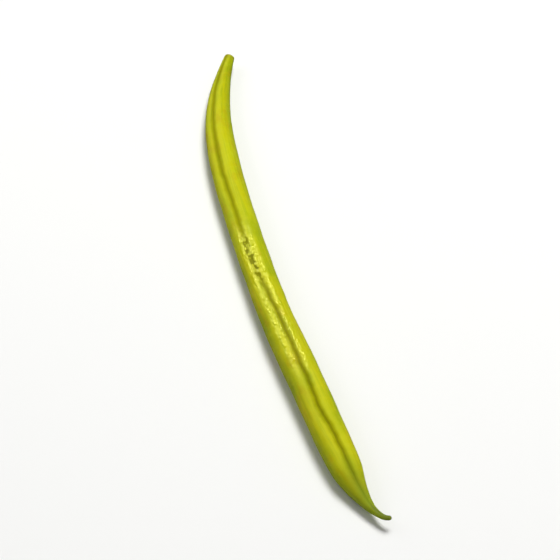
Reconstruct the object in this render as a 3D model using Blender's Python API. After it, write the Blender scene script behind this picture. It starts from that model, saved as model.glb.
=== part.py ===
"""A whole fresh green bean (snap bean pod), picked and lying on its side.

Units are metres and +Z is up.  The pod lies along X on the plane z = 0, with its snapped neck
at -X and its curled beak at +X, and it bows towards -Y.  The upper seam faces up and turns
slowly round the pod towards the beak.  The pod grew as one piece, so it is one object.
"""

import math

import bmesh
import bpy
from mathutils import Matrix, Vector

# ---- driving dimensions ----
POD_WIDTH = 0.0079  # across the two valves, at the fullest place
POD_DEPTH = 0.0082  # from seam to seam, at the fullest place

# The spine, the pod's middle line seen from above: arcs of (length, turn to the left in degrees).
START_HEADING = -29.6
SPINE_ARCS = (
    (0.026, 23.5),  # the neck's bend
    (0.016, 6.0),
    (0.030, 3.0),  # the long, nearly straight middle
    (0.016, 4.0),
    (0.022, -0.8),
    (0.014, 2.2),
    (0.009, 10.5),  # the shoulder, where the pod runs into its beak
    (0.005, 17.0),
    (0.0022, 41.0),  # the curled tail
)

# How wide the pod is along the spine: (distance from the neck, share of the full width).
STATIONS = (
    (0.0000, 0.300),
    (0.0030, 0.375),
    (0.0065, 0.460),
    (0.0105, 0.575),
    (0.0140, 0.655),
    (0.0180, 0.730),
    (0.0260, 0.830),
    (0.0360, 0.885),
    (0.0640, 0.905),
    (0.0800, 0.945),
    (0.0930, 1.000),
    (0.1080, 0.990),
    (0.1180, 0.955),
    (0.1235, 0.890),
    (0.1290, 0.600),
    (0.1340, 0.310),
    (0.1372, 0.185),
    (0.1402, 0.130),
)

# The seams.
# A seam is a narrow groove in a broad valley; depths are shares of the radius.
VALLEY_DEPTHS = (
    (0.000, 0.040),
    (0.008, 0.100),
    (0.018, 0.140),
    (0.045, 0.130),
    (0.065, 0.105),
    (0.090, 0.095),
    (0.115, 0.105),
    (0.128, 0.110),
    (0.135, 0.060),
    (0.1402, 0.020),
)
VALLEY_HALF_ANGLE = 29.0  # degrees
GROOVE_DEPTH = 0.045
GROOVE_HALF_ANGLE = 6.0
LOWER_SEAM = 0.5  # the lower seam is this much as deep as the upper one

# How far the upper seam leans from straight up: (distance from the neck, degrees towards +Y).
SEAM_LEAN = (
    (0.0000, -26.0),
    (0.0120, -28.0),
    (0.0380, -26.0),
    (0.0500, -22.0),
    (0.0600, -21.0),
    (0.0670, -18.0),
    (0.0740, -8.0),
    (0.0820, -1.0),
    (0.1000, -6.5),
    (0.1080, -8.0),
    (0.1220, 3.0),
    (0.1402, 4.0),
)

# The seeds swell the two valves a little.
SEED_SPACING = 0.0105
SEED_SWELL = 0.012  # share of the radius
SEEDS_FROM = 0.022
SEEDS_TO = 0.124

# How the pod lies.
NECK_LIFT = 0.0018  # underside of the neck's end above the surface
NECK_LIFT_LENGTH = 0.020
TAIL_LIFT = 0.0030  # underside of the tail's end above the surface
TAIL_LIFT_LENGTH = 0.018
PRESSED = 0.00010  # how far the skin flattens where it lies on the surface

# The scar where the stalk snapped off.
SCAR_SHARE = 0.62  # of the neck's radius
SCAR_DEPTH = 0.0004
RIM_SHARE = 0.90  # of the neck's radius
RIM_HEIGHT = 0.00025
TIP_SHARE = 0.70  # of the tail's radius
TAIL_ROUNDING = 0.00035

# The mesh.
RING_STEP = 0.0019
FINE_STEP = 0.0008
FINE_LENGTH = 0.016  # the beak is drawn in fine steps
SEAM_ANGLES = (0.0, 5.0, 11.0, 20.0)  # degrees each side of a seam
FLANK_ANGLES = (35.0, 52.0, 71.0, 90.0)
PITCH_STEP = 0.0005  # the spine's slope is measured over this much each way
SMALL_TURN = 1e-9  # radians; an arc that turns less is straight
SHARP_ANGLE = 50.0  # degrees; flatter edges are shaded smooth

POD_COLOUR = (0.52, 0.58, 0.03)
POD_ROUGHNESS = 0.38

SPINE_LENGTH = sum(length for length, _ in SPINE_ARCS)


def clear_scene():
    for thing in list(bpy.data.objects):
        bpy.data.objects.remove(thing, do_unlink=True)


def smooth_step(low, high, value):
    t = min(max((value - low) / (high - low), 0.0), 1.0)
    return t * t * (3.0 - 2.0 * t)


def monotone_curve(points, distance):
    """Monotone cubic through the points, so it has no false bumps between them."""
    xs = [x for x, _ in points]
    ys = [y for _, y in points]
    slopes = [(ys[i + 1] - ys[i]) / (xs[i + 1] - xs[i]) for i in range(len(xs) - 1)]
    tangents = [slopes[0]]
    for before, after in zip(slopes, slopes[1:]):
        same_way = before * after > 0.0
        tangents.append(2.0 * before * after / (before + after) if same_way else 0.0)
    tangents.append(slopes[-1])
    i = 0
    while i < len(slopes) - 1 and distance > xs[i + 1]:
        i += 1
    span = xs[i + 1] - xs[i]
    t = min(max((distance - xs[i]) / span, 0.0), 1.0)
    start = ys[i] * (1.0 + 2.0 * t) + span * tangents[i] * t
    end = ys[i + 1] * (3.0 - 2.0 * t) + span * tangents[i + 1] * (t - 1.0)
    return start * (1.0 - t) ** 2 + end * t * t


def underside_height(distance):
    neck = max(1.0 - distance / NECK_LIFT_LENGTH, 0.0)
    tail = max(1.0 - (SPINE_LENGTH - distance) / TAIL_LIFT_LENGTH, 0.0)
    return NECK_LIFT * neck**2 + TAIL_LIFT * tail**2 - PRESSED


def spine_in_plan(distance):
    """Where the spine is seen from above, and its heading, at a distance along its arcs."""
    place = Vector((0.0, 0.0))
    heading = math.radians(START_HEADING)
    left = distance
    for length, turn in SPINE_ARCS:
        run = min(left, length)
        swing = math.radians(turn) * run / length
        chord = run
        if abs(swing) > SMALL_TURN:
            chord = run * math.sin(0.5 * swing) / (0.5 * swing)
        middle = heading + 0.5 * swing
        place += chord * Vector((math.cos(middle), math.sin(middle)))
        heading += swing
        left -= run
        if left <= 0.0:
            break
    return place, heading


def twist(distance):
    """Degrees by which the upper seam leans from straight up."""
    return monotone_curve(SEAM_LEAN, distance)


def seam_dip(distance, degrees_off):
    """Share of the radius by which the skin sinks towards a seam."""
    valley = math.exp(-((degrees_off / VALLEY_HALF_ANGLE) ** 2))
    groove = math.exp(-((degrees_off / GROOVE_HALF_ANGLE) ** 2))
    return valley * monotone_curve(VALLEY_DEPTHS, distance) + groove * GROOVE_DEPTH


def spine_height(distance):
    """High enough that the skin below the spine comes down to the underside."""
    dip = LOWER_SEAM * seam_dip(distance, twist(distance))
    skin = 0.5 * POD_DEPTH * monotone_curve(STATIONS, distance) * (1.0 - dip)
    return underside_height(distance) + skin


def ring_frame(distance):
    """Centre, side direction and up direction of the pod's section."""
    plan, heading = spine_in_plan(distance)
    centre = Vector((plan.x, plan.y, spine_height(distance)))
    rise = spine_height(distance + PITCH_STEP) - spine_height(distance - PITCH_STEP)
    pitch = math.atan2(rise, 2.0 * PITCH_STEP)
    along = Vector(
        (
            math.cos(heading) * math.cos(pitch),
            math.sin(heading) * math.cos(pitch),
            math.sin(pitch),
        )
    )
    side = Vector((-math.sin(heading), math.cos(heading), 0.0))
    up = along.cross(side)
    turn = Matrix.Rotation(-math.radians(twist(distance)), 3, along)
    return centre, along, turn @ side, turn @ up


def swell(distance, angle):
    inside = smooth_step(SEEDS_FROM, SEEDS_FROM + SEED_SPACING, distance)
    inside *= 1.0 - smooth_step(SEEDS_TO - SEED_SPACING, SEEDS_TO, distance)
    wave = math.cos(math.tau * (distance - SEEDS_FROM) / SEED_SPACING)
    return -SEED_SWELL * inside * wave * math.sin(angle) ** 2


def section_angles():
    """Angles round the pod from the upper seam, closer together by both seams."""
    quarter = list(SEAM_ANGLES) + list(FLANK_ANGLES)
    half = quarter + [180.0 - a for a in reversed(quarter[:-1])]
    return half + [360.0 - a for a in reversed(half[1:-1])]


def section_point(distance, degrees, share):
    """Side and up offsets of a skin point from the spine."""
    angle = math.radians(degrees)
    off_upper = min(degrees, 360.0 - degrees)
    off_lower = abs(180.0 - degrees)
    dip = seam_dip(distance, off_upper) + LOWER_SEAM * seam_dip(distance, off_lower)
    reach = 1.0 - dip + swell(distance, angle)
    side = 0.5 * POD_WIDTH * share * reach * math.sin(angle)
    up = 0.5 * POD_DEPTH * share * reach * math.cos(angle)
    return side, up


def ring_distances():
    coarse_end = SPINE_LENGTH - FINE_LENGTH
    coarse = round(coarse_end / RING_STEP)
    fine = round(FINE_LENGTH / FINE_STEP)
    stops = [coarse_end * i / coarse for i in range(coarse)]
    stops += [coarse_end + FINE_LENGTH * i / fine for i in range(fine + 1)]
    return stops


def add_ring(mesh, distance, scale=1.0, forward=0.0):
    """One ring of the skin; scale and forward shape the two ends."""
    centre, along, side, up = ring_frame(distance)
    share = monotone_curve(STATIONS, distance) * scale
    ring = []
    for degrees in section_angles():
        across, above = section_point(distance, degrees, share)
        place = centre + side * across + up * above + along * forward
        place.z = max(place.z, 0.0)
        ring.append(mesh.verts.new(place))
    return ring


def bridge(mesh, ring, following):
    count = len(ring)
    for i in range(count):
        j = (i + 1) % count
        mesh.faces.new((ring[i], following[i], following[j], ring[j]))


def close_ring(mesh, ring, forward):
    """A pole in the middle of an end ring."""
    middle = sum((vert.co for vert in ring), Vector()) / len(ring)
    pole = mesh.verts.new(middle + forward)
    for vert, following in zip(ring, ring[1:] + ring[:1]):
        mesh.faces.new((vert, following, pole))


def pod_material():
    skin = bpy.data.materials.new("pod_skin")
    skin.use_nodes = True
    shader = skin.node_tree.nodes["Principled BSDF"]
    shader.inputs["Base Color"].default_value = (*POD_COLOUR, 1.0)
    shader.inputs["Roughness"].default_value = POD_ROUGHNESS
    shader.inputs["Metallic"].default_value = 0.0
    return skin


def build_pod():
    """The whole pod: scar, neck, valves with both seams, beak and tail."""
    mesh = bmesh.new()
    _, neck_along, _, _ = ring_frame(0.0)
    _, tail_along, _, _ = ring_frame(SPINE_LENGTH)

    scar = add_ring(mesh, 0.0, SCAR_SHARE)
    rim = add_ring(mesh, 0.0, RIM_SHARE, -RIM_HEIGHT)
    rings = [scar, rim]
    rings += [add_ring(mesh, distance) for distance in ring_distances()]
    rings.append(add_ring(mesh, SPINE_LENGTH, TIP_SHARE, TAIL_ROUNDING))
    for ring, following in zip(rings, rings[1:]):
        bridge(mesh, ring, following)
    close_ring(mesh, scar, neck_along * SCAR_DEPTH)
    close_ring(mesh, rings[-1], tail_along * 0.5 * TAIL_ROUNDING)

    bmesh.ops.recalc_face_normals(mesh, faces=mesh.faces)
    bmesh.ops.triangulate(mesh, faces=mesh.faces)
    data = bpy.data.meshes.new("pod")
    mesh.to_mesh(data)
    mesh.free()
    data.shade_smooth()
    data.set_sharp_from_angle(angle=math.radians(SHARP_ANGLE))
    data.materials.append(pod_material())
    pod = bpy.data.objects.new("pod", data)
    bpy.context.scene.collection.objects.link(pod)
    return pod


def centre_on_origin(pod):
    """Put the middle of the pod's footprint at the origin."""
    xs = [vert.co.x for vert in pod.data.vertices]
    ys = [vert.co.y for vert in pod.data.vertices]
    middle = Vector((0.5 * (min(xs) + max(xs)), 0.5 * (min(ys) + max(ys)), 0.0))
    pod.data.transform(Matrix.Translation(-middle))


clear_scene()
centre_on_origin(build_pod())
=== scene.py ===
"""The looks of one fresh green bean: its skin, seams, neck scar and beak, on a pale table.

The pod is made by one Geometry Nodes tree that wraps a skin round the pod's spine.  Lengths are
in metres and every size is a real one.  Angles are in degrees.
"""

import math

import bpy
import numpy as np
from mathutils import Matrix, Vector


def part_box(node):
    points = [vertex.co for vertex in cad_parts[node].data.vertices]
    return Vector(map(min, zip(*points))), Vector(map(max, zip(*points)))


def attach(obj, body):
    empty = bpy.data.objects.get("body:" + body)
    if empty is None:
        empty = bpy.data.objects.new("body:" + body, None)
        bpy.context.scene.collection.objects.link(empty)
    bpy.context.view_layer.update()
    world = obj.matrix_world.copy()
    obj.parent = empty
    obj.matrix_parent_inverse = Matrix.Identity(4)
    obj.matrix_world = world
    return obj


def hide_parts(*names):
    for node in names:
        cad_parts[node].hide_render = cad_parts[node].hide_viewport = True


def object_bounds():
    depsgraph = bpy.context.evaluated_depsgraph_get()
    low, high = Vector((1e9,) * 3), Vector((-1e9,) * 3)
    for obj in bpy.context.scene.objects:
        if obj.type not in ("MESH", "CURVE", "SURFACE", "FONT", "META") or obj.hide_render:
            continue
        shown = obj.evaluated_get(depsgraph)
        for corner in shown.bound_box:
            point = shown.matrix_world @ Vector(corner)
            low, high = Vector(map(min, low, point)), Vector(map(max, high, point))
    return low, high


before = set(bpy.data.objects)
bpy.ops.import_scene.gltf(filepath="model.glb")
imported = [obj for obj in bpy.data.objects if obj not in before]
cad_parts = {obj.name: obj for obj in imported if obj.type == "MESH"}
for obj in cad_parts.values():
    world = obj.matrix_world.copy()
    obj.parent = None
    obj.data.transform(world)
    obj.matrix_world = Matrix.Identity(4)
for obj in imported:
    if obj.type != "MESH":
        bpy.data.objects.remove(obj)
cad_low, cad_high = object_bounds()

MM = 0.001
HALF_TURN = 180.0
FULL_TURN = 360.0

# ---- the pod's sizes, as the construction has them ----
POD_WIDTH = 7.9 * MM  # across the two valves, at the fullest place
POD_DEPTH = 8.2 * MM  # from seam to seam

# The spine seen from above: arcs of (length, turn to the left).
START_HEADING = -29.6
SPINE_ARCS = (
    (26.0 * MM, 23.5),  # the neck's bend
    (16.0 * MM, 6.0),
    (30.0 * MM, 3.0),  # the long, nearly straight middle
    (16.0 * MM, 4.0),
    (22.0 * MM, -0.8),
    (14.0 * MM, 2.2),
    (9.0 * MM, 10.5),  # the shoulder, where the pod runs into its beak
    (5.0 * MM, 17.0),
    (2.2 * MM, 41.0),  # the curled tail
)
SPINE_LENGTH = sum(length for length, _ in SPINE_ARCS)
SPINE_STEP = 0.25 * MM

# (distance from the neck, share of the full width)
STATIONS = (
    (0.0 * MM, 0.300),
    (3.0 * MM, 0.375),
    (6.5 * MM, 0.460),
    (10.5 * MM, 0.575),
    (14.0 * MM, 0.655),
    (18.0 * MM, 0.730),
    (26.0 * MM, 0.830),
    (36.0 * MM, 0.885),
    (64.0 * MM, 0.905),
    (80.0 * MM, 0.945),
    (93.0 * MM, 1.000),
    (108.0 * MM, 0.990),
    (118.0 * MM, 0.955),
    (123.5 * MM, 0.890),
    (129.0 * MM, 0.600),
    (134.0 * MM, 0.310),
    (137.2 * MM, 0.185),
    (140.2 * MM, 0.130),
)

# The two ends of the outline, as (distance past the end, share of the end's width).
SCAR_OUTLINE = (
    (0.42 * MM, 0.0),  # the hollow middle, inside the neck
    (0.36 * MM, 0.30),
    (0.16 * MM, 0.58),
    (-0.10 * MM, 0.74),  # the torn rim stands out
    (-0.20 * MM, 0.86),
    (-0.14 * MM, 0.96),
)
TAIL_OUTLINE = (
    (0.16 * MM, 0.92),
    (0.30 * MM, 0.70),
    (0.38 * MM, 0.38),
    (0.40 * MM, 0.0),
)

# How far the upper seam leans from straight up: (distance from the neck, degrees to the left).
SEAM_LEAN = (
    (0.0 * MM, -26.0),
    (12.0 * MM, -28.0),
    (38.0 * MM, -26.0),
    (50.0 * MM, -22.0),
    (60.0 * MM, -21.0),
    (67.0 * MM, -18.0),
    (74.0 * MM, -8.0),
    (82.0 * MM, -1.0),
    (100.0 * MM, -6.5),
    (108.0 * MM, -8.0),
    (122.0 * MM, 3.0),
    (140.2 * MM, 4.0),
)

# How the pod lies: its ends stand off the table, and its underside is pressed flat on it.
NECK_LIFT = 1.8 * MM
NECK_LIFT_LENGTH = 20.0 * MM
TAIL_LIFT = 3.0 * MM
TAIL_LIFT_LENGTH = 18.0 * MM
PRESSED = 0.10 * MM

# A seam is a narrow groove in a broad valley.  Depths are shares of the pod's radius, and half
# angles are measured round the pod.
VALLEY_DEPTHS = (
    (0.0 * MM, 0.040),
    (8.0 * MM, 0.100),
    (18.0 * MM, 0.140),
    (45.0 * MM, 0.130),
    (65.0 * MM, 0.105),
    (90.0 * MM, 0.095),
    (115.0 * MM, 0.105),
    (128.0 * MM, 0.110),
    (135.0 * MM, 0.060),
    (140.2 * MM, 0.020),
)
VALLEY_HALF_ANGLE = 29.0
GROOVE_DEPTH = 0.055  # the construction has 0.045; a little deeper here, so that it shades
GROOVE_HALF_ANGLE = 6.0
LOWER_SEAM = 0.5  # the lower seam is this much as deep as the upper one
GROOVE_DEEPENS_FROM = 64.0 * MM
GROOVE_DEEPENS_TO = 82.0 * MM

# The skin's grid and its clean-up
RINGS = 640
SECTORS = 140
WELD_DISTANCE = 0.001 * MM
LOWEST_PLACE = (-1.0, -1.0, 0.0)  # the table's height; both sides are far past the pod

# How the skin's noise is drawn
LUMP_DETAIL = 2.0
LINE_DETAIL = 1.0
LINE_NOISE_RANGE = (0.3, 0.7)  # plain noise along a line mostly stays between these


def hex_colour(code):
    """An sRGB hex colour as linear red, green, blue and alpha."""
    channels = [int(code[i : i + 2], 16) / 255.0 for i in (1, 3, 5)]
    linear = [c / 12.92 if c <= 0.04045 else ((c + 0.055) / 1.055) ** 2.4 for c in channels]
    return (*linear, 1.0)


def add(tree, kind, inputs=None, **settings):
    """Adds a node with its settings; an input is a value, a socket, or a node's first output."""
    node = tree.nodes.new(kind)
    for name, value in settings.items():
        setattr(node, name, value)
    for key, value in (inputs or {}).items():
        if isinstance(value, bpy.types.Node):
            value = value.outputs[0]
        if isinstance(value, bpy.types.NodeSocket):
            tree.links.new(value, node.inputs[key])
        else:
            node.inputs[key].default_value = value
    return node


# ---------------------------------------------------------------- the pod's spine and outline


def monotone_curve(points, x):
    """Smooth curve through points that adds no false bumps."""
    xs = [p[0] for p in points]
    ys = [p[1] for p in points]
    slopes = [(ys[i + 1] - ys[i]) / (xs[i + 1] - xs[i]) for i in range(len(xs) - 1)]
    tangents = [slopes[0]]
    for before, after in zip(slopes, slopes[1:]):
        same_way = before * after > 0.0
        tangents.append(2.0 * before * after / (before + after) if same_way else 0.0)
    tangents.append(slopes[-1])
    i = 0
    while i < len(slopes) - 1 and x > xs[i + 1]:
        i += 1
    span = xs[i + 1] - xs[i]
    t = min(max((x - xs[i]) / span, 0.0), 1.0)
    start = ys[i] * (1.0 + 2.0 * t) + span * tangents[i] * t
    end = ys[i + 1] * (3.0 - 2.0 * t) + span * tangents[i + 1] * (t - 1.0)
    return start * (1.0 - t) ** 2 + end * t * t


def spine_height(distance):
    """The spine lies high enough that the skin comes down to the table."""
    neck = max(1.0 - distance / NECK_LIFT_LENGTH, 0.0)
    tail = max(1.0 - (SPINE_LENGTH - distance) / TAIL_LIFT_LENGTH, 0.0)
    underside = NECK_LIFT * neck**2 + TAIL_LIFT * tail**2 - PRESSED
    lean = monotone_curve(SEAM_LEAN, distance)
    valley = math.exp(-((lean / VALLEY_HALF_ANGLE) ** 2)) * monotone_curve(VALLEY_DEPTHS, distance)
    groove = math.exp(-((lean / GROOVE_HALF_ANGLE) ** 2)) * GROOVE_DEPTH
    dip = LOWER_SEAM * (valley + groove)
    return underside + 0.5 * POD_DEPTH * monotone_curve(STATIONS, distance) * (1.0 - dip)


def spine_in_plan(distance):
    """Where the spine is, seen from above, at a distance along its arcs."""
    place = Vector((0.0, 0.0))
    heading = math.radians(START_HEADING)
    left = distance
    for length, turn in SPINE_ARCS:
        run = min(left, length)
        swing = math.radians(turn) * run / length
        middle = heading + 0.5 * swing
        place += run * Vector((math.cos(middle), math.sin(middle)))
        heading += swing
        left -= run
        if left <= 0.0:
            break
    return place


def poly_curve(name, points, tilts=None):
    """A helper curve with one straight-sided spline."""
    data = bpy.data.curves.new(name, "CURVE")
    data.dimensions = "3D"
    data.twist_mode = "Z_UP"
    spline = data.splines.new("POLY")
    spline.points.add(len(points) - 1)
    for i, (x, y, z) in enumerate(points):
        spline.points[i].co = (x, y, z, 1.0)
        spline.points[i].tilt = tilts[i] if tilts else 0.0
    curve = bpy.data.objects.new(name, data)
    bpy.context.scene.collection.objects.link(curve)
    return curve


def stops_along():
    """Evenly spaced distances from the neck to the tail's tip."""
    count = round(SPINE_LENGTH / SPINE_STEP)
    return [SPINE_LENGTH * i / count for i in range(count + 1)]


def spine_curve():
    """The pod's middle line; its tilt leans the seam."""
    points = []
    tilts = []
    for stop in stops_along():
        plan = spine_in_plan(stop)
        points.append((plan.x, plan.y, spine_height(stop)))
        tilts.append(-math.radians(monotone_curve(SEAM_LEAN, stop)))
    return poly_curve("spine", points, tilts)


def outline_curve():
    """Half the pod's side view, from scar to tail tip.

    A point's x is the distance along, its y the half width and its z the valley's depth.
    """
    half = 0.5 * POD_WIDTH
    neck = half * STATIONS[0][1]
    tail = half * STATIONS[-1][1]
    points = [(place, neck * share, 0.0) for place, share in SCAR_OUTLINE]
    for stop in stops_along():
        half_width = half * monotone_curve(STATIONS, stop)
        points.append((stop, half_width, half_width * monotone_curve(VALLEY_DEPTHS, stop)))
    points += [(SPINE_LENGTH + past, tail * share, 0.0) for past, share in TAIL_OUTLINE]
    return poly_curve("outline", points)


# ---------------------------------------------------------------- the pod's tree

TREE_INPUTS = (
    # name, socket type, value
    ("Pod Width", "NodeSocketFloat", POD_WIDTH),
    ("Pod Depth", "NodeSocketFloat", POD_DEPTH),
    ("Rings", "NodeSocketInt", RINGS),
    ("Sectors", "NodeSocketInt", SECTORS),
    ("Valley Half Angle", "NodeSocketFloat", VALLEY_HALF_ANGLE),
    ("Groove Depth", "NodeSocketFloat", GROOVE_DEPTH),
    ("Groove Half Angle", "NodeSocketFloat", GROOVE_HALF_ANGLE),
    ("Lower Seam", "NodeSocketFloat", LOWER_SEAM),
    ("Seam Wander", "NodeSocketFloat", 1.5),  # degrees
    ("Seam Wander Length", "NodeSocketFloat", 8.0 * MM),
    ("Seam Ripple", "NodeSocketFloat", 1.1),  # degrees
    ("Seam Ripple Length", "NodeSocketFloat", 2.8 * MM),
    ("Groove Unevenness", "NodeSocketFloat", 0.30),  # share of the groove's depth
    ("Neck Groove", "NodeSocketFloat", 0.35),  # share of the groove's depth on the neck half
    ("Seed Spacing", "NodeSocketFloat", 10.5 * MM),
    ("Seed Swell", "NodeSocketFloat", 0.008),  # a share of the radius, as the heights below are
    ("Seeds From", "NodeSocketFloat", 20.0 * MM),
    ("Seeds To", "NodeSocketFloat", 124.0 * MM),
    ("Scar Reach", "NodeSocketFloat", 1.7 * MM),  # down the outline from its middle
    ("Lump Size", "NodeSocketFloat", 9.0 * MM),
    ("Lump Height", "NodeSocketFloat", 0.018),
    ("Dimple Size", "NodeSocketFloat", 2.2 * MM),
    ("Dimple Height", "NodeSocketFloat", 0.010),
    ("Pebble Size", "NodeSocketFloat", 0.95 * MM),
    ("Pebble Height", "NodeSocketFloat", 0.011),
    ("Seed", "NodeSocketFloat", 4.0),
)


def hollow(tree, degrees, half_angle, depth):
    """How far the skin sinks at this many degrees from the middle of a rounded hollow."""
    share = add(tree, "ShaderNodeMath", {0: degrees, 1: half_angle}, operation="DIVIDE")
    square = add(tree, "ShaderNodeMath", {0: share, 1: share}, operation="MULTIPLY")
    fall = add(tree, "ShaderNodeMath", {0: math.exp(-1.0), 1: square}, operation="POWER")
    return add(tree, "ShaderNodeMath", {0: fall, 1: depth}, operation="MULTIPLY")


def skin_noise(tree, place, size, seed):
    """Soft lumps of a real size, from -1 to 1."""
    scale = add(tree, "ShaderNodeMath", {0: 1.0, 1: size}, operation="DIVIDE")
    noise = add(
        tree,
        "ShaderNodeTexNoise",
        {"Vector": place, "W": seed, "Scale": scale, "Detail": LUMP_DETAIL},
        noise_dimensions="4D",
    )
    return add(
        tree, "ShaderNodeMapRange", {"Value": noise.outputs[0], 1: 0.0, 2: 1.0, 3: -1.0, 4: 1.0}
    )


def line_noise(tree, along, length):
    """A wandering value along the pod, mostly from -1 to 1, that turns over this length."""
    place = add(tree, "ShaderNodeMath", {0: along, 1: length}, operation="DIVIDE")
    noise = add(
        tree,
        "ShaderNodeTexNoise",
        {"W": place, "Scale": 1.0, "Detail": LINE_DETAIL},
        noise_dimensions="1D",
    )
    low, high = LINE_NOISE_RANGE
    return add(
        tree,
        "ShaderNodeMapRange",
        {"Value": noise.outputs[0], 1: low, 2: high, 3: -1.0, 4: 1.0},
        clamp=False,
    )


def read_outline(tree, outline_shape, u):
    """At a share of the outline: the distance along, the half width and the valley's depth."""
    edge = add(
        tree,
        "GeometryNodeSampleCurve",
        {"Curves": outline_shape, "Factor": u},
        mode="FACTOR",
        use_all_curves=True,
    )
    split = add(tree, "ShaderNodeSeparateXYZ", {"Vector": edge.outputs["Position"]})
    along, half_width, sunk = split.outputs
    depth = add(tree, "ShaderNodeMath", {0: sunk, 1: half_width}, operation="DIVIDE")
    return along, half_width, depth


def seam_degrees(tree, given, along, v):
    """Degrees round the pod from the upper seam's groove, which wanders and ripples a little."""
    wander = add(
        tree,
        "ShaderNodeMath",
        {0: line_noise(tree, along, given["Seam Wander Length"]), 1: given["Seam Wander"]},
        operation="MULTIPLY",
    )
    ripple = line_noise(tree, along, given["Seam Ripple Length"])
    wander = add(
        tree,
        "ShaderNodeMath",
        {0: ripple, 1: given["Seam Ripple"], 2: wander},
        operation="MULTIPLY_ADD",
    )
    degrees = add(tree, "ShaderNodeMath", {0: v, 1: FULL_TURN}, operation="MULTIPLY")
    shifted = add(tree, "ShaderNodeMath", {0: degrees, 1: wander}, operation="ADD")
    wrapped = add(
        tree, "ShaderNodeMath", {0: shifted, 1: HALF_TURN, 2: -HALF_TURN}, operation="WRAP"
    )
    return add(tree, "ShaderNodeMath", {0: wrapped}, operation="ABSOLUTE")


def uneven_groove(tree, given, along):
    """The groove's depth: uneven along its way, and shallow on the neck half."""
    uneven = add(
        tree,
        "ShaderNodeMath",
        {0: line_noise(tree, along, given["Dimple Size"]), 1: given["Groove Unevenness"], 2: 1.0},
        operation="MULTIPLY_ADD",
    )
    deepening = add(
        tree,
        "ShaderNodeMapRange",
        {
            "Value": along,
            1: GROOVE_DEEPENS_FROM,
            2: GROOVE_DEEPENS_TO,
            3: given["Neck Groove"],
            4: 1.0,
        },
        interpolation_type="SMOOTHSTEP",
    )
    share = add(tree, "ShaderNodeMath", {0: uneven, 1: deepening}, operation="MULTIPLY")
    return add(
        tree, "ShaderNodeMath", {0: given["Groove Depth"], 1: share}, operation="MULTIPLY"
    )


def seam_dips(tree, given, along, off_upper, valley_depth):
    """How far the two seams sink into the pod, as a share of its radius."""
    off_lower = add(tree, "ShaderNodeMath", {0: HALF_TURN, 1: off_upper}, operation="SUBTRACT")
    groove_depth = uneven_groove(tree, given, along)
    dips = 0.0
    for off_degrees, share in ((off_upper, 1.0), (off_lower, given["Lower Seam"])):
        valley = hollow(tree, off_degrees, given["Valley Half Angle"], valley_depth)
        groove = hollow(tree, off_degrees, given["Groove Half Angle"], groove_depth)
        both = add(tree, "ShaderNodeMath", {0: valley, 1: groove}, operation="ADD")
        dips = add(
            tree, "ShaderNodeMath", {0: both, 1: share, 2: dips}, operation="MULTIPLY_ADD"
        )
    return dips


def seed_swell(tree, given, along, sine):
    """How far the seeds swell the flanks, between their first and last places."""
    turns = add(tree, "ShaderNodeMath", {0: along, 1: given["Seed Spacing"]}, operation="DIVIDE")
    phase = add(tree, "ShaderNodeMath", {0: turns, 1: math.tau}, operation="MULTIPLY")
    wave = add(tree, "ShaderNodeMath", {0: phase}, operation="COSINE")
    full_from = add(
        tree,
        "ShaderNodeMath",
        {0: given["Seeds From"], 1: given["Seed Spacing"]},
        operation="ADD",
    )
    full_to = add(
        tree,
        "ShaderNodeMath",
        {0: given["Seeds To"], 1: given["Seed Spacing"]},
        operation="SUBTRACT",
    )
    begin = add(
        tree,
        "ShaderNodeMapRange",
        {"Value": along, 1: given["Seeds From"], 2: full_from, 3: 0.0, 4: 1.0},
        interpolation_type="SMOOTHSTEP",
    )
    finish = add(
        tree,
        "ShaderNodeMapRange",
        {"Value": along, 1: full_to, 2: given["Seeds To"], 3: 1.0, 4: 0.0},
        interpolation_type="SMOOTHSTEP",
    )
    inside = add(tree, "ShaderNodeMath", {0: begin, 1: finish}, operation="MULTIPLY")
    flank = add(tree, "ShaderNodeMath", {0: sine, 1: sine}, operation="MULTIPLY")
    share = add(tree, "ShaderNodeMath", {0: inside, 1: flank}, operation="MULTIPLY")
    height = add(tree, "ShaderNodeMath", {0: wave, 1: given["Seed Swell"]}, operation="MULTIPLY")
    return add(tree, "ShaderNodeMath", {0: share, 1: height}, operation="MULTIPLY")


def skin_place(tree, given, spine_shape, along, across, above, reach):
    """Where the skin lies: out from the spine, by the section's place times its reach."""
    on_spine = add(tree, "ShaderNodeClamp", {"Value": along, "Min": 0.0, "Max": SPINE_LENGTH})
    spot = add(
        tree,
        "GeometryNodeSampleCurve",
        {"Curves": spine_shape, "Length": on_spine},
        mode="LENGTH",
        use_all_curves=True,
    )
    forward = spot.outputs["Tangent"]
    right = spot.outputs["Normal"]
    left = add(tree, "ShaderNodeVectorMath", {0: right, "Scale": -1.0}, operation="SCALE")
    up = add(tree, "ShaderNodeVectorMath", {0: right, 1: forward}, operation="CROSS_PRODUCT")

    depth_share = add(
        tree,
        "ShaderNodeMath",
        {0: given["Pod Depth"], 1: given["Pod Width"]},
        operation="DIVIDE",
    )
    past_end = add(tree, "ShaderNodeMath", {0: along, 1: on_spine}, operation="SUBTRACT")
    side_reach = add(tree, "ShaderNodeMath", {0: across, 1: reach}, operation="MULTIPLY")
    up_reach = add(tree, "ShaderNodeMath", {0: above, 1: reach}, operation="MULTIPLY")
    up_reach = add(tree, "ShaderNodeMath", {0: up_reach, 1: depth_share}, operation="MULTIPLY")

    place = spot.outputs["Position"]
    for way, distance in ((forward, past_end), (left, side_reach), (up, up_reach)):
        step = add(tree, "ShaderNodeVectorMath", {0: way, "Scale": distance}, operation="SCALE")
        place = add(tree, "ShaderNodeVectorMath", {0: place, 1: step}, operation="ADD")
    return place


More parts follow.
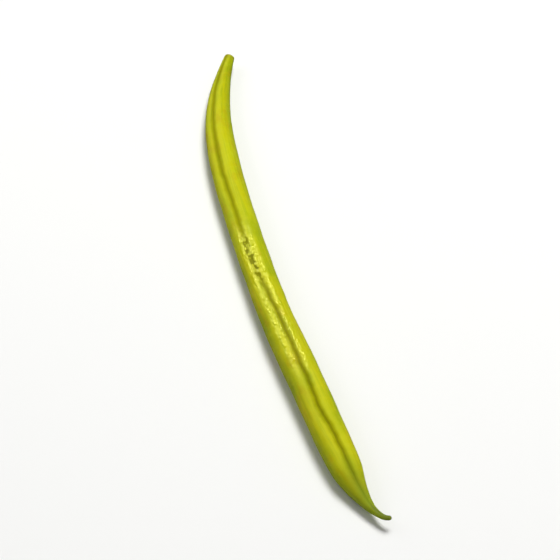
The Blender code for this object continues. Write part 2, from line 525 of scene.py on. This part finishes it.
def scar_mask(tree, given, outline_shape, u):
    """1 in the middle of the scar and 0 past its rim.

    It follows the outline, because the scar's rings lie at the same distances as the neck's.
    """
    length = add(tree, "GeometryNodeCurveLength", {"Curve": outline_shape})
    down_outline = add(tree, "ShaderNodeMath", {0: u, 1: length}, operation="MULTIPLY")
    return add(
        tree,
        "ShaderNodeMapRange",
        {"Value": down_outline, 1: given["Scar Reach"], 2: 0.0, 3: 0.0, 4: 1.0},
        interpolation_type="SMOOTHSTEP",
    )


def pod_tree(spine, outline, skin):
    """Wraps a grid round the spine: along it by the outline, round it by the section."""
    tree = bpy.data.node_groups.new("pod_growth", "GeometryNodeTree")
    tree.interface.new_socket("Geometry", in_out="OUTPUT", socket_type="NodeSocketGeometry")
    for name, kind, value in TREE_INPUTS:
        socket = tree.interface.new_socket(name, in_out="INPUT", socket_type=kind)
        socket.default_value = value
    given = tree.nodes.new("NodeGroupInput").outputs
    spine_shape = add(tree, "GeometryNodeObjectInfo", {"Object": spine}).outputs["Geometry"]
    outline_shape = add(tree, "GeometryNodeObjectInfo", {"Object": outline}).outputs["Geometry"]

    # the grid: u runs along the pod and v round it
    lines = add(tree, "ShaderNodeMath", {0: given["Sectors"], 1: 1.0}, operation="ADD")
    grid = add(
        tree,
        "GeometryNodeMeshGrid",
        {"Vertices X": given["Rings"], "Vertices Y": lines, "Size X": 1.0, "Size Y": 1.0},
    )
    split = add(tree, "ShaderNodeSeparateXYZ", {"Vector": grid.outputs["UV Map"]})
    u, v = split.outputs["X"], split.outputs["Y"]

    # the plain round section, and the pod laid out straight, which the finish follows
    along, half_width, valley_depth = read_outline(tree, outline_shape, u)
    angle = add(tree, "ShaderNodeMath", {0: v, 1: math.tau}, operation="MULTIPLY")
    sine = add(tree, "ShaderNodeMath", {0: angle}, operation="SINE")
    cosine = add(tree, "ShaderNodeMath", {0: angle}, operation="COSINE")
    across = add(tree, "ShaderNodeMath", {0: sine, 1: half_width}, operation="MULTIPLY")
    above = add(tree, "ShaderNodeMath", {0: cosine, 1: half_width}, operation="MULTIPLY")
    straight = add(tree, "ShaderNodeCombineXYZ", {"X": along, "Y": across, "Z": above})

    # reach is the section's radius as a share of the plain one
    off_seam = seam_degrees(tree, given, along, v)
    dips = seam_dips(tree, given, along, off_seam, valley_depth)
    reach = add(tree, "ShaderNodeMath", {0: 1.0, 1: dips}, operation="SUBTRACT")
    swell = seed_swell(tree, given, along, sine)
    reach = add(tree, "ShaderNodeMath", {0: reach, 1: swell}, operation="ADD")
    for name in ("Lump", "Dimple", "Pebble"):
        wave = skin_noise(tree, straight, given[f"{name} Size"], given["Seed"])
        reach = add(
            tree,
            "ShaderNodeMath",
            {0: wave, 1: given[f"{name} Height"], 2: reach},
            operation="MULTIPLY_ADD",
        )

    place = skin_place(tree, given, spine_shape, along, across, above, reach)
    on_table = add(
        tree, "ShaderNodeVectorMath", {0: place, 1: LOWEST_PLACE}, operation="MAXIMUM"
    )
    shape = add(tree, "GeometryNodeSetPosition", {"Geometry": grid, "Position": on_table})
    for name, kind, domain, value in (
        ("straight", "FLOAT_VECTOR", "POINT", straight),
        ("off_seam", "FLOAT", "POINT", off_seam),
        ("scar", "FLOAT", "POINT", scar_mask(tree, given, outline_shape, u)),
        ("OFBake", "FLOAT2", "CORNER", grid.outputs["UV Map"]),
    ):
        shape = add(
            tree,
            "GeometryNodeStoreNamedAttribute",
            {"Geometry": shape, "Name": name, "Value": value},
            data_type=kind,
            domain=domain,
        )
    closed = add(
        tree, "GeometryNodeMergeByDistance", {"Geometry": shape, "Distance": WELD_DISTANCE}
    )
    smooth = add(tree, "GeometryNodeSetShadeSmooth", {"Geometry": closed})
    whole = add(tree, "GeometryNodeRealizeInstances", {"Geometry": smooth})
    covered = add(tree, "GeometryNodeSetMaterial", {"Geometry": whole, "Material": skin})
    add(tree, "NodeGroupOutput", {0: covered})
    return tree


def set_inputs(modifier, tree):
    """Gives the modifier the tree's own values, by each socket's identifier."""
    for socket in tree.interface.items_tree:
        if socket.item_type == "SOCKET" and socket.in_out == "INPUT":
            modifier[socket.identifier] = socket.default_value


def mesh_box(data):
    """The lowest and highest corner of a mesh."""
    places = np.empty(3 * len(data.vertices), np.float32)
    data.vertices.foreach_get("co", places)
    places = places.reshape(-1, 3)
    return Vector(places.min(0)), Vector(places.max(0))


def grow_pod(skin):
    """The pod as a plain mesh, in the place of the construction's pod."""
    spine = spine_curve()
    outline = outline_curve()
    tree = pod_tree(spine, outline, skin)
    seedling = bpy.data.objects.new("seedling", bpy.data.meshes.new("seedling"))
    bpy.context.scene.collection.objects.link(seedling)
    modifier = seedling.modifiers.new("pod_growth", "NODES")
    modifier.node_group = tree
    set_inputs(modifier, tree)
    grown = seedling.evaluated_get(bpy.context.evaluated_depsgraph_get())
    data = bpy.data.meshes.new_from_object(grown)
    data.name = "green_bean_skin"
    for helper in (seedling, spine, outline):
        bpy.data.objects.remove(helper, do_unlink=True)
    pod = bpy.data.objects.new("green_bean_skin", data)
    bpy.context.scene.collection.objects.link(pod)
    low, high = mesh_box(data)
    target_low, target_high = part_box("pod")
    move = 0.5 * (target_low + target_high) - 0.5 * (low + high)
    move.z = 0.0
    for vertex in data.vertices:
        vertex.co += move
    return pod


# ---------------------------------------------------------------- the skin's colours and wax

BODY_GREEN = "#ACB202"  # the wall's own yellow-green
BODY_YELLOW = "#BEBA02"  # where the wall is riper
# Deep green of the wall's patches and strings; down the flanks the same colour is painted shade.
DEEP_GREEN_AND_FLANK_SHADE = "#7E9604"  # the flanks, and between the strings
BLUSH_OCHRE = "#B08C02"  # small warm blushes
PALE_FLECK = "#C4C624"  # the middle of each pebble
NECK_YELLOW = "#C8CC10"
# painted light: the seam's lips, which face the softboxes, drawn paler and yellower
LIP_PAINTED_LIGHT = "#CED02E"
# The seam's own olive band and line; their darkness is partly painted shade in the groove.
GROOVE_OLIVE = "#7C7A00"
GROOVE_LINE_AND_SHADE = "#6E6C00"
BEAK_GREEN = "#7E901C"
TAIL_GREY = "#66742E"  # the dry tip
RIM_OLIVE = "#8E8A28"
SCAR_TAN = "#C2B47C"

# The patterns of the wall and the wax: (size along the pod, size round it, seed, detail).
PATTERNS = {
    "patches": (11.0 * MM, 4.5 * MM, 1.0, 2.0),  # broad paler and deeper places
    "strings": (14.0 * MM, 0.55 * MM, 2.0, 3.0),  # the fibres under the skin
    "bands": (1.3 * MM, 7.0 * MM, 3.0, 2.0),  # faint rings across the fibres
    "blushes": (7.0 * MM, 3.5 * MM, 4.0, 4.0),
    "grain": (1.1 * MM, 0.75 * MM, 5.0, 0.0),  # the wax's own unevenness
}

# The skin's pebbles.  They and the grain are a few tenths of a millimetre on a real bean, and are
# drawn two or three times as coarse, so that their glints show.
PEBBLE_LENGTH = 0.95 * MM
PEBBLE_WIDTH = 0.70 * MM

# An edge is (what it follows, first, second, at first, at second), with a soft change between the
# two places.  "along" is the distance from the neck, "off_seam" the degrees round the pod from
# the upper seam, and a pattern runs from 0 to 1.  Edges in a row are multiplied, and a name that
# stands alone is multiplied as it is.
MASKS = {
    # the stretch where the seam breaks up into specks
    "speckled": (
        ("along", 52.0 * MM, 62.0 * MM, 0.0, 1.0),
        ("along", 77.0 * MM, 65.0 * MM, 0.0, 1.0),
    ),
    # the dull pits between the specks, drawn darker with painted shade
    "pits": (
        ("pebbles", 0.46, 0.70, 0.0, 1.0),
        ("off_seam", 18.0, 8.0, 0.0, 1.0),
        "speckled",
    ),
    # where the wax is whole and bright: the middle of the pod, near the seam
    "bright": (
        ("along", 47.0 * MM, 61.0 * MM, 0.0, 1.0),
        ("along", 114.0 * MM, 86.0 * MM, 0.0, 1.0),
        ("off_seam", 46.0, 24.0, 0.25, 1.0),
    ),
    # how far the green of the beak runs on up the seam
    "up_seam": (("off_seam", 50.0, 5.0, 0.0, 4.0 * MM),),
}
STRING_RAGGEDNESS = 5.0 * MM  # how far the strings make the beak's green run on

# The colours over the wall's own green, from the lowest up: (colour, its edges).
COLOUR_LAYERS = (
    # the wall: paler on the neck half, patchy, and with painted shade down the flanks
    (
        NECK_YELLOW,
        ("along", 10.0 * MM, 34.0 * MM, 0.0, 0.6),
        ("along", 78.0 * MM, 46.0 * MM, 0.0, 1.0),
    ),
    (BODY_YELLOW, ("patches", 0.42, 0.68, 0.0, 0.8)),
    (DEEP_GREEN_AND_FLANK_SHADE, ("patches", 0.50, 0.30, 0.0, 0.5)),
    # painted shade: the flanks drawn darker away from the upper seam, where less light falls
    (DEEP_GREEN_AND_FLANK_SHADE, ("off_seam", 45.0, 115.0, 0.0, 0.7)),
    (DEEP_GREEN_AND_FLANK_SHADE, ("strings", 0.52, 0.36, 0.0, 0.35)),
    (BODY_YELLOW, ("bands", 0.54, 0.70, 0.0, 0.35)),
    (BLUSH_OCHRE, ("blushes", 0.54, 0.68, 0.0, 0.38)),
    (PALE_FLECK, ("pebbles", 0.25, 0.10, 0.0, 0.30)),
    # the upper seam: lips paler with painted light, an olive band between them and a darker line
    # in its middle, both partly painted shade in the groove
    (
        LIP_PAINTED_LIGHT,
        ("off_seam", 10.0, 22.0, 0.0, 1.0),
        ("off_seam", 48.0, 26.0, 0.0, 1.0),
        ("along", GROOVE_DEEPENS_FROM, GROOVE_DEEPENS_TO, 0.25, 0.32),
    ),
    # the groove's band: the seam's own olive, partly painted shade
    (
        GROOVE_OLIVE,
        ("off_seam", 19.0, 6.0, 0.0, 1.0),
        ("speckled", 0.0, 1.0, 1.0, 0.45),
        ("along", GROOVE_DEEPENS_FROM, GROOVE_DEEPENS_TO, 0.50, 0.52),
    ),
    # the groove's middle line: partly the seam's own colour, partly painted shade
    (
        GROOVE_LINE_AND_SHADE,
        ("off_seam", 7.0, 2.0, 0.0, 1.0),
        ("speckled", 0.0, 1.0, 1.0, 0.3),
        ("along", GROOVE_DEEPENS_FROM, GROOVE_DEEPENS_TO, 0.32, 0.60),
    ),
    # painted shade in the pits between the pebbles
    (GROOVE_LINE_AND_SHADE, ("pits", 0.0, 1.0, 0.0, 0.80)),
    # the lower seam's line
    (GROOVE_OLIVE, ("off_seam", 174.0, 178.0, 0.0, 0.6)),
    # the two ends: the beak's green, the dry tip, and the scar with its browned rim
    (BEAK_GREEN, ("ragged", 125.0 * MM, 140.0 * MM, 0.0, 0.9)),
    (TAIL_GREY, ("ragged", 139.5 * MM, 143.5 * MM, 0.0, 0.8)),
    (RIM_OLIVE, ("along", 1.6 * MM, 0.2 * MM, 0.0, 0.45)),
    (SCAR_TAN, ("scar", 0.10, 0.60, 0.0, 0.85)),
)

# The wax.  Its roughness is the sum of these rows.
ROUGHNESS_PARTS = (
    (("grain", 0.30, 0.70, 0.20, 0.34),),  # the bright wax itself
    (("bright", 0.2, 0.9, 0.42, 0.0),),  # worn duller on the neck, the flanks and the beak
    (("off_seam", 13.0, 5.0, 0.0, 1.0), ("speckled", 0.0, 1.0, 0.45, 0.08)),  # in the groove
    (("pits", 0.0, 0.8, 0.0, 0.4),),
)
RELIEF_HEIGHT = 0.085 * MM
RELIEF_STRENGTH = (("bright", 0.1, 0.9, 0.20, 1.0),)
GRAIN_SHARE = 0.8  # the grain's height as a share of a pebble's
WAX_IOR = 1.42
WAX_GLOSS = 0.40
WAX_TINT = "#FFFC60"

# The juicy wall just under the skin, which lets a little light through
FLESH_SHARE = 0.10
FLESH_DEPTH = 0.6 * MM
FLESH_COLOURS_REACH = (1.0, 0.9, 0.2)  # red and green light go far into it, and blue little


def grain_place(tree, place, along_size, round_size):
    """The place on the straight pod, counted in grains of these real sizes."""
    counts = (1.0 / along_size, 1.0 / round_size, 1.0 / round_size)
    return add(tree, "ShaderNodeVectorMath", {0: place, 1: counts}, operation="MULTIPLY")


def soft_mask(tree, readings, edges):
    """The product of soft edges, as described above the masks."""
    product = 1.0
    for edge in edges:
        if isinstance(edge, str):
            share = readings[edge]
        else:
            follows, first, second, at_first, at_second = edge
            share = add(
                tree,
                "ShaderNodeMapRange",
                {"Value": readings[follows], 1: first, 2: second, 3: at_first, 4: at_second},
                interpolation_type="SMOOTHSTEP",
            )
        product = add(tree, "ShaderNodeMath", {0: product, 1: share}, operation="MULTIPLY")
    return product


def read_skin(tree):
    """Everything that the finish follows, by name: places on the pod, patterns and masks."""
    place = add(tree, "ShaderNodeAttribute", attribute_name="straight").outputs["Vector"]
    readings = {"along": add(tree, "ShaderNodeSeparateXYZ", {0: place}).outputs["X"]}
    for name in ("off_seam", "scar"):
        readings[name] = add(tree, "ShaderNodeAttribute", attribute_name=name).outputs["Fac"]
    for name, (along_size, round_size, seed, detail) in PATTERNS.items():
        grains = grain_place(tree, place, along_size, round_size)
        readings[name] = add(
            tree,
            "ShaderNodeTexNoise",
            {"Vector": grains, "W": seed, "Scale": 1.0, "Detail": detail},
            noise_dimensions="4D",
        )
    cells = grain_place(tree, place, PEBBLE_LENGTH, PEBBLE_WIDTH)
    pebbles = add(tree, "ShaderNodeTexVoronoi", {"Vector": cells, "Scale": 1.0})
    readings["pebbles"] = pebbles.outputs["Distance"]
    for name, edges in MASKS.items():
        readings[name] = soft_mask(tree, readings, edges)

    # the distance from the neck as the beak's green sees it: it runs on along strings and seam
    ragged = add(
        tree,
        "ShaderNodeMath",
        {0: readings["strings"], 1: STRING_RAGGEDNESS, 2: readings["along"]},
        operation="MULTIPLY_ADD",
    )
    readings["ragged"] = add(
        tree, "ShaderNodeMath", {0: ragged, 1: readings["up_seam"]}, operation="ADD"
    )
    return readings


def skin_relief(tree, readings):
    """The fine pebbles and grain of the skin, under a tenth of a millimetre high."""
    pebbles = readings["pebbles"]
    hollows = add(tree, "ShaderNodeMath", {0: pebbles, 1: pebbles}, operation="MULTIPLY")
    height = add(
        tree,
        "ShaderNodeMath",
        {0: readings["grain"], 1: GRAIN_SHARE, 2: hollows},
        operation="MULTIPLY_ADD",
    )
    strength = soft_mask(tree, readings, RELIEF_STRENGTH)
    return add(
        tree,
        "ShaderNodeBump",
        {"Height": height, "Strength": strength, "Distance": RELIEF_HEIGHT},
        invert=True,
    )


def pod_skin():
    """Fresh bean skin: a living green wall under a thin natural wax.

    The wall gives a deep yellow-green with faint strings, bands and blushes; its colour also
    carries painted shade down the flanks and in the groove, and painted light on the seam's lips.
    satin sheen that breaks into small glints on the skin's pebbles.
    """
    material = bpy.data.materials.new("waxy_bean_skin")
    material.use_nodes = True
    tree = material.node_tree
    shader = tree.nodes["Principled BSDF"]
    readings = read_skin(tree)

    colour = hex_colour(BODY_GREEN)
    for shade, *edges in COLOUR_LAYERS:
        amount = soft_mask(tree, readings, edges)
        colour = add(
            tree,
            "ShaderNodeMix",
            {"Factor": amount, 6: colour, 7: hex_colour(shade)},
            data_type="RGBA",
        ).outputs[2]
    rough = 0.0
    for edges in ROUGHNESS_PARTS:
        part = soft_mask(tree, readings, edges)
        rough = add(tree, "ShaderNodeMath", {0: rough, 1: part}, operation="ADD")
    tree.links.new(colour, shader.inputs["Base Color"])
    tree.links.new(rough.outputs[0], shader.inputs["Roughness"])
    tree.links.new(skin_relief(tree, readings).outputs[0], shader.inputs["Normal"])

    shader.inputs["IOR"].default_value = WAX_IOR
    shader.inputs["Specular IOR Level"].default_value = WAX_GLOSS
    shader.inputs["Specular Tint"].default_value = hex_colour(WAX_TINT)
    shader.inputs["Subsurface Weight"].default_value = FLESH_SHARE
    shader.inputs["Subsurface Radius"].default_value = FLESH_COLOURS_REACH
    shader.inputs["Subsurface Scale"].default_value = FLESH_DEPTH
    return material


# ---------------------------------------------------------------- table, light and camera

TABLE_WHITE = "#F2F2F0"
TABLE_ROUGHNESS = 0.9
TABLE_REACH = 3.0  # from the bean to each edge

ROOM_WHITE = (1.0, 1.0, 1.0, 1.0)
ROOM_STRENGTH = 0.17
SOFTBOX_DISTANCE = 0.9
SOFTBOXES = (
    # name, azimuth, elevation, side, watts, lights the colours, shows in the wax
    ("key_softbox", 224.0, 70.0, 0.35, 7.7, True, False),
    ("glint_softbox", 311.0, 37.0, 0.09, 4.0, False, True),
    ("glint_softbox", 293.0, 49.0, 0.09, 3.4, False, True),
    ("glint_softbox", 252.0, 50.0, 0.09, 5.5, False, True),
    ("far_side_softbox", 101.0, 46.0, 0.25, 6.0, False, True),
    ("fill_softbox", 330.0, 42.0, 0.50, 1.05, True, False),
)

VIEW_AZIMUTH = 76.3
VIEW_ELEVATION = 52.0
VIEW_LENS = 250.0
VIEW_FILL = 0.86  # the share of the picture's height that the bean takes


def direction(azimuth, elevation):
    """Unit vector from the bean towards a place round it; azimuth 0 is at -Y."""
    a, e = math.radians(azimuth), math.radians(elevation)
    return Vector((math.sin(a) * math.cos(e), -math.cos(a) * math.cos(e), math.sin(e)))


def table_top():
    """Matt white paint: a pale, even ground with no sheen."""
    material = bpy.data.materials.new("matt_white_table")
    material.use_nodes = True
    shader = material.node_tree.nodes["Principled BSDF"]
    shader.inputs["Base Color"].default_value = hex_colour(TABLE_WHITE)
    shader.inputs["Roughness"].default_value = TABLE_ROUGHNESS
    return material


def lay_table():
    """A wide, flat table under the bean."""
    data = bpy.data.meshes.new("table")
    ways = ((-1.0, -1.0), (1.0, -1.0), (1.0, 1.0), (-1.0, 1.0))
    corners = [(TABLE_REACH * x, TABLE_REACH * y, 0.0) for x, y in ways]
    data.from_pydata(corners, [], [(0, 1, 2, 3)])
    data.materials.append(table_top())
    table = bpy.data.objects.new("table", data)
    bpy.context.scene.collection.objects.link(table)
    table.visible_glossy = False  # the bean's wax shows the softboxes, not the white table


def hang_softbox(centre, name, azimuth, elevation, side, watts, fills, shines):
    """A square softbox that looks at the bean."""
    lamp = bpy.data.lights.new(name, "AREA")
    lamp.shape = "RECTANGLE"
    lamp.size, lamp.size_y = side, side
    lamp.energy = watts
    holder = bpy.data.objects.new(name, lamp)
    bpy.context.scene.collection.objects.link(holder)
    towards = direction(azimuth, elevation)
    holder.location = centre + towards * SOFTBOX_DISTANCE
    holder.rotation_mode = "QUATERNION"
    holder.rotation_quaternion = towards.to_track_quat("Z", "Y")
    holder.visible_diffuse = fills
    holder.visible_glossy = shines


def light_scene(centre):
    """A soft white room and its softboxes."""
    world = bpy.data.worlds.new("soft_room")
    world.use_nodes = True
    sky = world.node_tree.nodes["Background"]
    sky.inputs["Color"].default_value = ROOM_WHITE
    sky.inputs["Strength"].default_value = ROOM_STRENGTH
    bpy.context.scene.world = world
    world.cycles_visibility.glossy = False  # the wax shows the softboxes, not the room
    for softbox in SOFTBOXES:
        hang_softbox(centre, *softbox)


def place_camera(centre, low, high):
    """Looks down the bean's length, from as far as makes it fill its share of the picture."""
    camera_data = bpy.data.cameras.new("camera")
    camera_data.lens = VIEW_LENS
    camera = bpy.data.objects.new("camera", camera_data)
    bpy.context.scene.collection.objects.link(camera)
    towards = direction(VIEW_AZIMUTH, VIEW_ELEVATION)
    tall = (high.x - low.x) * math.sin(math.radians(VIEW_ELEVATION))
    distance = tall / VIEW_FILL * VIEW_LENS / camera_data.sensor_width
    camera.location = centre + towards * distance
    camera.rotation_mode = "QUATERNION"
    camera.rotation_quaternion = towards.to_track_quat("Z", "Y")
    bpy.context.scene.camera = camera


# ---------------------------------------------------------------- the scene

bpy.context.scene.view_settings.view_transform = "Standard"

pod = grow_pod(pod_skin())
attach(pod, "root")
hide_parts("pod")

lay_table()
middle = 0.5 * (cad_low + cad_high)
light_scene(middle)
place_camera(middle, cad_low, cad_high)
